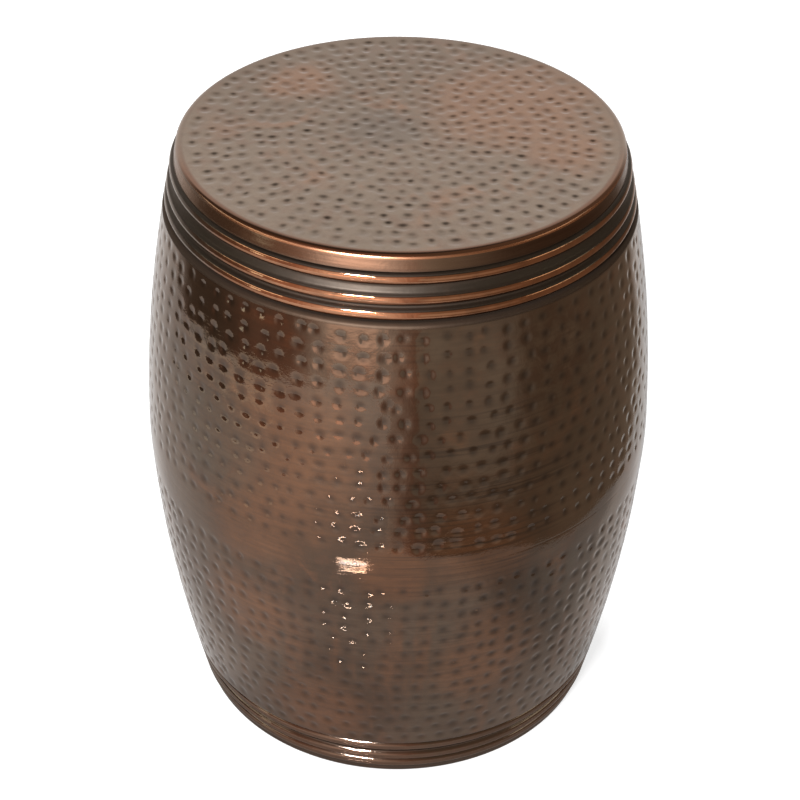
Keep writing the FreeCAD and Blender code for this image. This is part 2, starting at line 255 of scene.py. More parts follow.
class Rings:
    """A half section as rings: rows of radius, height, outward normal, points around, distance along."""

    def __init__(self):
        self.rows = []

    def next_along(self):
        """Where the next stretch of the section starts, as a distance along it."""
        return self.rows[-1][-1] + RING_BREAK if self.rows else 0.0

    def add(self, points, pitch, around):
        """Adds rings along a close row of points. pitch and around are numbers, or functions of (r, z)."""
        along = run_along(points)
        slope = np.gradient(points, axis=0)
        slope /= np.hypot(*slope.T)[:, None]
        places = [0.0]
        while places[-1] < along[-1]:
            here = [np.interp(places[-1], along, points[:, axis]) for axis in (0, 1)]
            places.append(places[-1] + (pitch(*here) if callable(pitch) else pitch))
        base = self.next_along()
        for place in np.array(places) * along[-1] / places[-1]:
            r, z = [np.interp(place, along, points[:, axis]) for axis in (0, 1)]
            dr, dz = [np.interp(place, along, slope[:, axis]) for axis in (0, 1)]
            count = around(r, z) if callable(around) else around
            self.rows.append((r, z, (-dz, dr), count, base + place))


class Dents:
    """Hammer marks: rows of distance along the section, place, half width, depth and stretch."""

    def __init__(self):
        self.rows = []

    def add(self, along, r, z, bearing, mark):
        across, depth = mark
        size = across / 2 * dice.uniform(*SIZE_SPREAD)
        depth *= dice.uniform(*DEPTH_SPREAD)
        stretch = dice.uniform(*STRETCH_SPREAD)
        self.rows.append((along, r * math.cos(bearing), r * math.sin(bearing), z, size, depth, stretch))


def hammer(places, along, marks, bowl_share):
    """How far the marks push a ring's points, and how far inside a mark each point lies, from 0 to 1."""
    near = marks[np.abs(marks[:, 0] - along) < FARTHEST_MARK]
    if not len(near):
        return np.zeros(len(places)), np.zeros(len(places))
    size, depth, stretch = near[:, 4:].T
    apart = places[:, None, :] - near[None, :, 1:4]
    step = (along - near[:, 0])[None, :]
    side = np.maximum((apart ** 2).sum(2) - step ** 2, 0)
    reach = np.sqrt((step * stretch) ** 2 + side / stretch ** 2) / size
    core = np.clip(1 - (reach / CORE_REACH) ** 2, 0, 1) ** 2
    bowl = np.exp(-(reach / BOWL_REACH) ** 2)
    push = -((core + bowl_share * bowl) * depth).sum(1)
    return push, np.exp(-(reach / STAIN_REACH) ** 2).max(1)


def waves(places, seed):
    """Gentle unevenness between -1 and 0 over points in space."""
    own = np.random.default_rng(seed)
    total = np.zeros(len(places))
    for length in WAVE_LENGTHS:
        heading = own.normal(size=3)
        heading *= 2 * math.pi / length / np.linalg.norm(heading)
        total += np.cos(places @ heading + own.uniform(0, 2 * math.pi))
    return np.clip(total / (2 * math.sqrt(len(WAVE_LENGTHS))) - 1, -2, 0) / 2


def calm(r, z):
    """Where the sheet may be uneven: not at the belly seam, the beads or the edges."""
    from_seam = abs(z - SEAM_Z)
    body = smooth_step(*SEAM_FADE, from_seam) * smooth_step(*SHOULDER_FADE, from_seam)
    return body if z < TOP_BEADS[2][1] else smooth_step(*TOP_EDGE_FADE, r)


def ring_faces(a, b, start_a, start_b):
    """Faces between rings of a and b points. The counts are equal, or one is double the other, or 1."""
    faces = []
    for step in range(max(a, b) if min(a, b) == 1 else min(a, b)):
        follow = step + 1
        if a == 1:
            faces.append((start_a, start_b + step, start_b + follow % b))
        elif b == 1:
            faces.append((start_a + step, start_b, start_a + follow % a))
        elif a == b:
            faces.append((start_a + step, start_b + step, start_b + follow % b, start_a + follow % a))
        elif b == 2 * a:
            middle = start_b + 2 * step + 1
            faces.append((start_a + step, start_b + 2 * step, middle))
            faces.append((start_a + step, middle, start_a + follow % a))
            faces.append((start_a + follow % a, middle, start_b + 2 * follow % b))
        else:
            middle = start_a + 2 * step + 1
            faces.append((start_a + 2 * step, start_b + step, middle))
            faces.append((start_b + step, start_b + follow % b, middle))
            faces.append((start_b + follow % b, start_a + 2 * follow % a, middle))
    return faces


def lathe(name, rings, dents=None, bowl_share=0.25, wave_depth=0.0, wave_seed=1, wear=None, closed=True):
    """A turned mesh. Dents push its faces in, and the marks are kept as point attributes for the finish."""
    marks = np.array(dents.rows) if dents else None
    vertices = []
    layers = {"dent": [], "along": [], "worn": [], "hollow": []}
    for r, z, normal, count, along in rings.rows:
        bearing = 2 * math.pi * np.arange(count if r > 1e-6 else 1) / count
        places = np.stack([r * np.cos(bearing), r * np.sin(bearing), np.full(len(bearing), z)], 1)
        push, mark = np.zeros(len(bearing)), 0.0
        if dents:
            push, mark = hammer(places, along, marks, bowl_share)
            push += wave_depth * calm(r, z) * waves(places, wave_seed)
            push = np.maximum(push, -DEEPEST_PUSH)
        places[:, 0] += push * normal[0] * np.cos(bearing)
        places[:, 1] += push * normal[0] * np.sin(bearing)
        places[:, 2] += push * normal[1]
        vertices.append(places)
        crest, groove = wear(r, z) if wear else (0.0, 0.0)
        for layer, value in zip(layers.values(), (mark, along * MM, crest, groove)):
            layer.append(np.full(len(bearing), value))
    sizes = [len(places) for places in vertices]
    first = [0, *np.cumsum(sizes).tolist()]
    spans = list(zip(range(len(sizes)), range(1, len(sizes))))
    if closed:
        spans.append((len(sizes) - 1, 0))
    faces = []
    for here, there in spans:
        faces += ring_faces(sizes[here], sizes[there], first[here], first[there])
    mesh = bpy.data.meshes.new(name)
    mesh.from_pydata((np.vstack(vertices) * MM).tolist(), [], faces)
    for label, values in layers.items():
        layer = mesh.attributes.new(label, "FLOAT", "POINT")
        layer.data.foreach_set("value", np.concatenate(values).astype(np.float32))
    mesh.polygons.foreach_set("use_smooth", [True] * len(mesh.polygons))
    mesh.set_sharp_from_angle(angle=math.radians(SHARP_ANGLE))
    mesh.validate()
    mesh.update()
    piece = bpy.data.objects.new(name, mesh)
    scene.collection.objects.link(piece)
    return piece


def round_edge(before, corner, after, back):
    """Two points and the arc that round a convex corner, from a distance back on each side."""
    before, corner, after = [np.array(place[:2]) for place in (before, corner, after)]
    leave = corner + (before - corner) * back / math.dist(before, corner)
    enter = corner + (after - corner) * back / math.dist(after, corner)
    half = math.acos(np.dot(leave - corner, enter - corner) / back ** 2) / 2
    return [(*leave, -back * math.tan(half)), tuple(enter)]


def round_belly(points):
    """Eases the slight crease at the belly, so that both halves meet upright."""
    points = points.copy()
    apart = np.clip(1 - np.abs(points[:, 1] - SEAM_Z) / BELLY_EASE, 0, 1)
    points[:, 0] -= BELLY_SLOPE * BELLY_EASE / 2 * apart ** 2
    return points


def bead_outside(bead):
    """A bead's outer arc, from its upper groove to its lower one."""
    peak, level = bead
    edge = peak - GROOVE
    return [(edge, level + HALF_BEAD, -BEAD), (edge, level - HALF_BEAD)]


def full_bead(bead, turn):
    """A bead whose upper flank turns in so far that the land above it stands nearly upright."""
    peak, level = bead
    lift = math.radians(turn)
    start = (peak - BEAD + BEAD * math.cos(lift), level + BEAD * math.sin(lift), -BEAD)
    return [start, bead_outside(bead)[1]]


def bead_inside(bead, deeper=0.0):
    """A bead's inner arc, from its lower groove to its upper one."""
    peak, level = bead
    edge = peak - GROOVE - GAUGE - deeper
    return [(edge, level - HALF_BEAD_INSIDE, BEAD - GAUGE), (edge, level + HALF_BEAD_INSIDE)]


def bead_wear_and_shade(beads, shoulder_z, z):
    """How far a bead's crest is rubbed bright, and how dark the grooves under the beads and the shoulder
    are: dark patina and painted shade.
    """
    crest = max(math.exp(-((z - level + WEAR_DROP) / RUBBED_BAND) ** 6) for _, level in beads)
    groove = max(math.exp(-((z - level + HALF_BEAD + WEAR_DROP) / GROOVE_DARK_BAND) ** 2) for _, level in beads)
    ledge = math.exp(-((z - shoulder_z) / LEDGE_DARK_BAND) ** 2)
    return crest, max(groove, 0.7 * ledge)


def hammered_body(points, start, end, mark, offset=0.0):
    """Rows of hammer marks along a body's section, from one distance along it to another.

    The rows that come first have the same count and line up. An offset is added to each mark's distance.
    """
    dents = Dents()
    for row in range(BODY_ROWS):
        along = start + (end - start) * row / (BODY_ROWS - 1)
        even = row < EVEN_ROWS
        row_r = place_at(points, start if even else along)[0]
        count = round(2 * math.pi * row_r / ROW_SPACING)
        stagger = dice.uniform(-EVEN_STAGGER, EVEN_STAGGER) if even else dice.uniform(0, 1)
        steps = np.arange(count) + stagger + dice.normal(0, BODY_BEARING_SCATTER, count)
        for bearing in steps * 2 * math.pi / count:
            own = along + dice.normal(0, BODY_SCATTER)
            r, z = place_at(points, own)
            dents.add(own + offset, r, z, bearing, mark)
    return dents


def hammered_disc():
    """Rings of hammer marks on the flat top, closer together towards the middle."""
    dents = Dents()
    ring_r = OUTER_RING_R
    while ring_r > INNER_RING_R:
        spacing = MIDDLE_SPACING + (EDGE_SPACING - MIDDLE_SPACING) * ring_r / OUTER_RING_R
        count = max(round(2 * math.pi * ring_r / spacing), 3)
        stagger = dice.uniform(0, 1)
        for step in range(count):
            bearing = (step + stagger + dice.normal(0, TOP_BEARING_SCATTER)) * 2 * math.pi / count
            own = ring_r + dice.normal(0, TOP_SCATTER)
            dents.add(own, own, TOP_Z, bearing, TOP_MARK)
        ring_r -= RING_GAP
    return dents


def make_top():
    """The flat top in rings of hammer marks, with its rubbed corner and brushed skirt."""
    lip_r = TOP_R - COLLAR_LEAN
    flat_r = lip_r - TOP_CORNER
    outside = soften(trace([
        (0.0, TOP_Z), (flat_r, TOP_Z, -TOP_CORNER), (lip_r, TOP_Z - TOP_CORNER),
        (TOP_R, SKIRT_Z + SKIRT_FOOT), (TOP_R, SKIRT_Z)]), TOP_SOFT)
    inside_corner = TOP_CORNER - TOP_Z + NECK_Z
    inside = trace([
        (TOP_R - GAUGE, SKIRT_Z), (flat_r + inside_corner, TOP_Z - TOP_CORNER, inside_corner),
        (flat_r, NECK_Z), (0.0, NECK_Z)])

    def around(r, z):
        for limit, count in TOP_COUNTS:
            if r < limit:
                return count
        return FINE

    def pitch(r, z):
        if z < TOP_Z - 0.5:
            return CORNER_STEP if z > TOP_Z - TOP_CORNER else SKIRT_STEP
        return HAMMERED_STEP

    def wear(r, z):
        inward = (r - lip_r + RUBBED_CORNER_IN) / RUBBED_CORNER_WIDE
        upward = (z - RUBBED_CORNER_Z) / RUBBED_CORNER_HIGH
        # The ditch inside the corner is darkened, and the foot of the skirt is darkened with patina and
        # painted shade.
        ditch = math.exp(-((r - flat_r + DITCH_IN) / GROOVE_DARK_BAND) ** 2) if z > TOP_Z - 0.4 else 0.0
        foot = math.exp(-((z - SKIRT_Z) / FOOT_DARK_BAND) ** 2)
        return math.exp(-inward ** 2 - upward ** 2), max(ditch * 0.4, foot)

    rings = Rings()
    rings.add(outside, pitch, around)
    rings.add(inside, lambda r, z: HAMMERED_STEP if r > UNDER_CORNER_R else UNDER_TOP_STEP,
              lambda r, z: PLAIN if r > UNDER_RIM_R else around(r / 2, z))
    return lathe("hammered_top", rings, hammered_disc(), bowl_share=0.1, wave_depth=TOP_WAVE, wave_seed=3,
                 wear=wear, closed=False)


def make_upper():
    """The upper half of the barrel: hidden flange and neck, three beads and the hammered body."""
    bead_top = TOP_BEADS[0][1] + BEAD
    neck_r = NECK_R - NECK_SLACK
    body = arc_points(SHOULDER, (BELLY_R, UPPER_EDGE_Z), -BODY_ARC, 1.0)
    edge = round_edge(bead_outside(TOP_BEADS[2])[1], SHOULDER, body[4], SHOULDER_ROUND)
    outside = round_belly(soften(trace([
        (NECK_OPENING_R, NECK_Z), (neck_r - NECK_CORNER, NECK_Z, -NECK_CORNER),
        (neck_r, NECK_Z - NECK_CORNER), (neck_r, bead_top, -BEAD), bead_outside(TOP_BEADS[0])[1],
        *full_bead(TOP_BEADS[1], SECOND_BEAD_TURN), *full_bead(TOP_BEADS[2], THIRD_BEAD_TURN),
        edge[0], (*edge[1], -BODY_ARC), (BELLY_R, UPPER_EDGE_Z)]), UPPER_SOFT))
    inside = trace([
        (BELLY_R - GAUGE, UPPER_EDGE_Z, BODY_ARC - GAUGE), (SHOULDER[0] - GAUGE, SHOULDER[1]),
        *bead_inside(TOP_BEADS[2], HIDDEN_BEAD_STEP), *bead_inside(TOP_BEADS[1], HIDDEN_BEAD_STEP),
        bead_inside(TOP_BEADS[0], HIDDEN_BEAD_STEP)[0],
        (neck_r, bead_top - GAUGE), (neck_r - GAUGE, bead_top - GAUGE),
        (neck_r - GAUGE, NECK_Z - NECK_CORNER, NECK_CORNER - GAUGE),
        (neck_r - NECK_CORNER, NECK_Z - GAUGE), (NECK_OPENING_R, NECK_Z - GAUGE)])

    def around(r, z):
        if z > HIDDEN_NECK_Z:
            return HIDDEN
        return PLAIN if z > SHOULDER[1] - 1 else FINE

    def pitch(r, z):
        if z > HIDDEN_NECK_Z:
            return HIDDEN_STEP
        return BEAD_STEP if z > SHOULDER[1] - 2 else HAMMERED_STEP

    rings = Rings()
    rings.add(outside, pitch, around)
    rings.add(inside, lambda r, z: INSIDE_BEAD_STEP if z > SHOULDER[1] else INSIDE_STEP,
              lambda r, z: PLAIN if z < ABOVE_LAP_Z else HIDDEN)
    run = run_along(outside)
    body_start = run[np.argmax(outside[:, 1] < SHOULDER[1])]
    dents = hammered_body(outside, body_start + CLEAR_OF_SHOULDER, run[-1] - CLEAR_ABOVE_BELLY, UPPER_MARK)
    return lathe("upper_barrel", rings, dents, wave_depth=BODY_WAVE, wave_seed=5,
                 wear=lambda r, z: bead_wear_and_shade(TOP_BEADS, SHOULDER[1], z))


def make_lower():
    """The lower half: spigot, hammered body, three beads, the rim and its foot flange."""
    lap = trace([(SPIGOT_TOP_R, SPIGOT_TOP_Z), (SPIGOT_R, LOWER_EDGE_Z)])
    outside = round_belly(soften(trace([
        (BELLY_R, LOWER_EDGE_Z, -BODY_ARC), BASE_SHOULDER,
        *bead_outside(RIM_BEADS[2]), *bead_outside(RIM_BEADS[1]), *bead_outside(RIM_BEADS[0]),
        (RIM_R, RIM_Z + RIM_CORNER, -RIM_CORNER), (RIM_R - RIM_CORNER, RIM_Z),
        (MOUTH_R, RIM_Z)]), LOWER_SOFT))
    inside = trace([
        (MOUTH_R, RIM_Z + GAUGE), (RIM_R - RIM_CORNER, RIM_Z + GAUGE, RIM_CORNER - GAUGE),
        (RIM_R - GAUGE, RIM_Z + RIM_CORNER),
        *bead_inside(RIM_BEADS[0]), *bead_inside(RIM_BEADS[1]), *bead_inside(RIM_BEADS[2]),
        (BASE_SHOULDER[0] - GAUGE, BASE_SHOULDER[1], BODY_ARC - GAUGE),
        (BELLY_R - GAUGE, LOWER_EDGE_Z - JOGGLE), (SPIGOT_R - GAUGE, LOWER_EDGE_Z),
        (SPIGOT_TOP_R - GAUGE, SPIGOT_TOP_Z)])

    def on_flange(r, z):
        return r < FLANGE_R and z < FLANGE_Z

    def around(r, z):
        if on_flange(r, z):
            return HIDDEN
        return PLAIN if z < BASE_SHOULDER[1] + 1 else FINE

    def pitch(r, z):
        if on_flange(r, z):
            return HIDDEN_STEP
        return BEAD_STEP if z < BASE_SHOULDER[1] + 2 else HAMMERED_STEP

    rings = Rings()
    rings.add(lap, SPIGOT_STEP, PLAIN)
    body_start = rings.next_along()
    rings.add(outside, pitch, around)
    rings.add(inside, lambda r, z: INSIDE_BEAD_STEP if z < BASE_SHOULDER[1] else INSIDE_STEP,
              lambda r, z: HIDDEN if z < BELOW_LAP_Z else PLAIN)
    body_end = run_along(outside)[np.argmax(outside[:, 1] < BASE_SHOULDER[1])]
    dents = hammered_body(outside, CLEAR_BELOW_BELLY, body_end - CLEAR_OF_SHOULDER, LOWER_MARK, body_start)
    return lathe("lower_barrel", rings, dents, wave_depth=BODY_WAVE, wave_seed=9,
                 wear=lambda r, z: bead_wear_and_shade(RIM_BEADS, BASE_SHOULDER[1], z))


def make_belly_seam():
    """The weld run at the belly, ground flush."""
    outside = round_belly(trace([(BELLY_R, UPPER_EDGE_Z), (BELLY_R, LOWER_EDGE_Z)]))
    inside = trace([(BELLY_R - GAUGE, LOWER_EDGE_Z), (BELLY_R - GAUGE, UPPER_EDGE_Z)])
    rings = Rings()
    rings.add(outside, BEAD_STEP, PLAIN)
    rings.add(inside, BEAD_STEP, PLAIN)
    return lathe("belly_seam", rings)


class Value:
    """A socket in a node tree. Sums on it add Math nodes."""

    def __init__(self, graph, socket):
        self.graph, self.socket = graph, socket

    def math(self, operation, first, second=0.0):
        return self.graph.node("ShaderNodeMath", {"operation": operation}, {0: first, 1: second})

    def __add__(self, other):
        return self.math("ADD", self, other)

    __radd__ = __add__

    def __sub__(self, other):
        return self.math("SUBTRACT", self, other)

    def __rsub__(self, other):
        return self.math("SUBTRACT", other, self)

    def __mul__(self, other):
        return self.math("MULTIPLY", self, other)

    __rmul__ = __mul__

    def __abs__(self):
        return self.math("ABSOLUTE", self)

    def most(self, other):
        return self.math("MAXIMUM", self, other)


class Graph:
    """A node tree, filled node by node."""

    def __init__(self, tree):
        self.tree = tree
        tree.nodes.clear()

    def node(self, kind, settings=None, sockets=None, output=0):
        """Adds a node and gives one of its outputs."""
        made = self.tree.nodes.new(kind)
        for name, setting in (settings or {}).items():
            setattr(made, name, setting)
        for key, value in (sockets or {}).items():
            if isinstance(value, Value):
                self.tree.links.new(value.socket, made.inputs[key])
            else:
                made.inputs[key].default_value = value
        return Value(self, made.outputs[output]) if made.outputs else made

    def attribute(self, name):
        return self.node("ShaderNodeAttribute", {"attribute_name": name}, output="Fac")

    def place(self, scale=(1, 1, 1)):
        """Object coordinates times a scale for each axis."""
        here = self.node("ShaderNodeTexCoord", output="Object")
        return self.node("ShaderNodeVectorMath", {"operation": "MULTIPLY"}, {0: here, 1: scale})

    def split(self, vector):
        """A vector's three parts."""
        return [self.node("ShaderNodeSeparateXYZ", {}, {0: vector}, axis) for axis in range(3)]

    def noise(self, vector, scale, detail=2.0, rough=0.5, warp=0.0):
        return self.node("ShaderNodeTexNoise", {}, {
            "Vector": vector, "Scale": scale, "Detail": detail, "Roughness": rough, "Distortion": warp})

    def ease(self, value, low, high, start=0.0, end=1.0):
        """A smooth step of a value, from start at low to end at high."""
        return self.node("ShaderNodeMapRange", {"interpolation_type": "SMOOTHSTEP"}, {
            "Value": value, "From Min": low, "From Max": high, "To Min": start, "To Max": end})

    def mix(self, share, first, second):
        """Two colours mixed by a share from 0 to 1."""
        return self.node("ShaderNodeMix", {"data_type": "RGBA"}, {0: share, 6: first, 7: second}, output=2)

    def patch(self, centre, reach, ragged):
        """A soft-edged patch around a point, from 0 outside to 1 inside, with a ragged edge."""
        apart = self.node("ShaderNodeVectorMath", {"operation": "DISTANCE"},
                          {0: self.place(), 1: centre}, output="Value")
        return self.ease(apart + (ragged - 0.5) * reach * 0.9, reach, reach * 0.35)

    def patches(self, spots, ragged):
        """Several patches, each as (centre, reach), in one mask."""
        mask = self.patch(*spots[0], ragged)
        for centre, reach in spots[1:]:
            mask = mask.most(self.patch(centre, reach, ragged))
        return mask

    def bump(self, strength, distance, height):
        return self.node("ShaderNodeBump", {}, {
            "Strength": strength, "Distance": distance, "Height": height})

    def principled(self, sockets):
        """The material's shader, with its even and its varied values, and the output."""
        shader = self.node("ShaderNodeBsdfPrincipled", {}, sockets)
        self.node("ShaderNodeOutputMaterial", {}, {"Surface": shader})


def new_material(name):
    """A new material and its empty graph."""
    material = bpy.data.materials.new(name)
    material.use_nodes = True
    return material, Graph(material.node_tree)


# Heights where the copper's zones begin and end, in metres: first none of the zone, then all of it
FLAT_TOP = (0.452, 0.456)
BEADS_FROM = (0.4115, 0.4135)
BEADS_TO = (0.4460, 0.4455)
BASE_BEADS_TO = (0.0405, 0.0385)
COLLAR_FROM = (0.4455, 0.446)
COLLAR_TO = (0.4560, 0.4545)
LEDGE_FROM = (0.4092, 0.4104)
LEDGE_TO = (0.4150, 0.4130)

# The front lamp's side: the beads' painted highlights are brightest at this distance to the left of the
# middle, and the painted light and shade on the lands and the ledge centre there too
LIT_LEFT = 0.03

# Patches of the finish, as centre and reach in metres
# Warm patches: the first three, on the top, are a painted highlight for the brushed top's reflection; the
# rest are warm patina on the body.
WARM_AND_HIGHLIGHT_PATCHES = [
    ((0.075, 0.045, 0.457), 0.085), ((-0.07, 0.075, 0.457), 0.035), ((0.11, -0.02, 0.457), 0.04),
    ((-0.076, -0.160, 0.303), 0.085), ((-0.098, -0.154, 0.247), 0.055), ((0.052, -0.175, 0.240), 0.05),
    ((-0.098, -0.140, 0.160), 0.05), ((0.065, -0.160, 0.137), 0.06), ((-0.055, -0.155, 0.075), 0.05),
    ((0.0, -0.183, 0.228), 0.035)]
# Olive patches: olive patina, except the second, low on the right, which is a painted shadow.
OLIVE_AND_SHADOW_PATCHES = [
    ((-0.125, -0.13, 0.30), 0.06), ((0.12, -0.11, 0.17), 0.075), ((0.15, -0.09, 0.33), 0.13)]
SMUDGE_PATCH = ((-0.010, 0.008, 0.457), 0.036)
SCORED_PATCH = ((0.05, -0.17, 0.285), 0.10)
MOTTLED_PATCH = ((0.105, -0.135, 0.375), 0.055)

# Colours of the copper finish, among them painted highlights, painted reflections and painted shade
DARK_PATINA = (0.135, 0.084, 0.055, 1)
LIGHT_PATINA = (0.215, 0.148, 0.104, 1)
TOP_NEAR_PAINTED_LIGHT = (0.266, 0.196, 0.142, 1)
TOP_FAR_PAINTED_SHADE = (0.178, 0.123, 0.082, 1)
WARM_COPPER_AND_HIGHLIGHT = (0.345, 0.158, 0.080, 1)
OLIVE_AND_SHADOW_BROWN = (0.165, 0.13, 0.094, 1)
RED_MOTTLE = (0.205, 0.105, 0.065, 1)
BROWN_FLECK = (0.12, 0.075, 0.05, 1)
GREY_SMUDGE = (0.12, 0.093, 0.074, 1)
SPIN_BROWN = (0.11, 0.072, 0.05, 1)
SCORE_BROWN = (0.085, 0.056, 0.041, 1)
MOTTLED_BROWN = (0.10, 0.055, 0.034, 1)
LAND_LIT = (0.050, 0.045, 0.040, 1)
LAND_SHADED_ASIDE = (0.040, 0.036, 0.030, 1)
BASE_LAND = (0.14, 0.105, 0.085, 1)
TOP_RIM = (0.20, 0.085, 0.042, 1)
COLLAR_SHADED_LEFT = (0.24, 0.145, 0.095, 1)
COLLAR_SHADED_RIGHT = (0.062, 0.028, 0.016, 1)
COLLAR_LIT = (0.47, 0.30, 0.215, 1)
COLLAR_BRUSHED_AND_LIT = (0.20, 0.125, 0.085, 1)
CREST_LIT = (0.62, 0.305, 0.175, 1)
CREST_SHADED_ASIDE = (0.38, 0.165, 0.085, 1)
CREST_PAINTED_REFLECTION_LEFT = (0.34, 0.29, 0.25, 1)
HOLLOW_PATINA_AND_SHADE = (0.062, 0.043, 0.033, 1)
LEDGE_PAINTED_SHADE = (0.06, 0.044, 0.034, 1)


class Plate:
    """What the copper finish is mixed from: places, the mesh's marks, noises, and zones from 0 to 1."""

    def __init__(self, graph):
        self.graph = graph
        self.dent, self.worn, self.hollow, self.along = [
            graph.attribute(name) for name in ("dent", "worn", "hollow", "along")]
        here = graph.place()
        self.x, self.y, self.z = graph.split(here)
        # How far from the lamp's side, where the painted highlights and shade centre.
        self.aside = abs(self.x + LIT_LEFT)
        self.lines = self.spun(22.0, 800.0)
        self.wide_lines = self.spun(22.0, 260.0)
        self.scores = self.spun(9.0, 420.0)
        self.clouds = graph.noise(here, 9.0, 4.0, 0.55, 0.4)
        self.blotch = graph.noise(here, 21.0, 4.0, 0.6, 0.6)
        self.mottle = graph.noise(here, 75.0, 4.0, 0.65, 0.5)
        self.fleck = graph.noise(here, 160.0, 3.0, 0.6)
        self.on_top = graph.ease(self.z, *FLAT_TOP)
        self.off_top = 1.0 - self.on_top * 0.9
        top_beads = graph.ease(self.z, *BEADS_FROM) * graph.ease(self.z, *BEADS_TO)
        self.beaded = top_beads.most(graph.ease(self.z, *BASE_BEADS_TO))
        self.collar = graph.ease(self.z, *COLLAR_FROM) * graph.ease(self.z, *COLLAR_TO)
        self.ledge = graph.ease(self.z, *LEDGE_FROM) * graph.ease(self.z, *LEDGE_TO)

    def spun(self, across, along):
        """Noise drawn out into lines around the drum, by its scales across and along the section."""
        stretched = self.graph.node("ShaderNodeCombineXYZ", {}, {
            0: self.x * across, 1: self.y * across, 2: self.along * along})
        return self.graph.noise(stretched, 1.0, 3.0, 0.6)


def patina(plate):
    """The plate's brown, paler on top and painted lighter at the top's front and darker at its back as
    painted reflection, with warm patches (on the top a painted highlight), olive patches (one a painted
    shadow) and a grey patch, mottle and flecks.
    """
    graph, ease, mix = plate.graph, plate.graph.ease, plate.graph.mix
    colour = mix(ease(plate.clouds, 0.35, 0.68), DARK_PATINA, LIGHT_PATINA)
    # Paler on top, and painted lighter at the front and darker at the back of the top: painted reflection.
    colour = mix(plate.on_top * 0.8, colour, mix(ease(plate.y, -0.08, 0.12), TOP_NEAR_PAINTED_LIGHT, TOP_FAR_PAINTED_SHADE))
    warm = ease(plate.blotch, 0.52, 0.70) * ease(plate.clouds, 0.62, 0.40)
    warm = warm.most(graph.patches(WARM_AND_HIGHLIGHT_PATCHES, plate.blotch))
    drips = graph.noise(graph.place((38, 38, 5)), 1.0, 3.0, 0.6)
    warm = warm.most(ease(drips, 0.50, 0.68) * ease(plate.z, 0.25, 0.15) * 0.8)
    # Warm patina, and the top's patches a painted highlight.
    colour = mix(warm * (0.64 - plate.on_top * 0.14), colour, WARM_COPPER_AND_HIGHLIGHT)
    # Olive patina, and low on the right a painted shadow.
    colour = mix(graph.patches(OLIVE_AND_SHADOW_PATCHES, plate.blotch) * 0.55, colour, OLIVE_AND_SHADOW_BROWN)
    colour = mix(ease(plate.mottle, 0.45, 0.72) * 0.4, colour, RED_MOTTLE)
    colour = mix(ease(plate.fleck, 0.45, 0.75) * 0.25, colour, BROWN_FLECK)
    return mix(graph.patch(*SMUDGE_PATCH, plate.mottle) * 0.4, colour, GREY_SMUDGE)


def spin_lines(plate, colour):
    """Dark lines around the drum, scored deeper in places, and a dark mottled patch at the right."""
    graph, ease, mix = plate.graph, plate.graph.ease, plate.graph.mix
    colour = mix(ease(plate.wide_lines, 0.35, 0.7, 0.0, 0.35) * plate.off_top, colour, SPIN_BROWN)
    scored = graph.patch(*SCORED_PATCH, plate.blotch).most(ease(plate.blotch, 0.5, 0.7) * 0.5)
    scored = ease(plate.scores, 0.50, 0.64) * plate.off_top * scored
    colour = mix(scored * 0.75, colour, SCORE_BROWN)
    mottled = graph.patch(*MOTTLED_PATCH, plate.blotch) * ease(plate.mottle, 0.38, 0.62)
    return mix(mottled * 0.6, colour, MOTTLED_BROWN)


def bands(plate, colour):
    """The lands between the beads, the reddish rim of the top, and the brushed collar, with painted light
    and shade on the lands and the collar.
    """
    ease, mix = plate.graph.ease, plate.graph.mix
    # The top lands are painted lighter on the lamp's side and darker aside: painted light and shade.
    land = mix(ease(plate.aside, 0.02, 0.085), LAND_LIT, LAND_SHADED_ASIDE)
    land = mix(ease(plate.z, 0.05, 0.40), BASE_LAND, land)
    colour = mix(plate.beaded * 0.85, colour, land)
    rim = ease(plate.along, 0.1455, 0.1478) * ease(plate.z, 0.4535, 0.4545)
    rim = rim * ease(plate.y, 0.0, -0.07, 0.15, 1.0)
    colour = mix(rim * 0.85, colour, TOP_RIM)
    # The collar: a painted highlight at the front on the lamp's side, painted shade to the left and deeper
    # painted shade to the right, and brushed lines drawn stronger on the lit left.
    lit = ease(plate.x, -0.085, -0.045, 0.0, 0.85) * ease(plate.x, 0.03, -0.005)
    shaded = mix(ease(plate.x, 0.01, 0.07), COLLAR_SHADED_LEFT, COLLAR_SHADED_RIGHT)
    colour = mix(plate.collar * (0.8 - lit * 0.8), colour, shaded)
    colour = mix(plate.collar * lit, colour, COLLAR_LIT)
    brushed = plate.collar * ease(plate.lines, 0.35, 0.7) * ease(plate.x, 0.01, 0.07, 0.45, 0.12)
    return mix(brushed, colour, COLLAR_BRUSHED_AND_LIT)


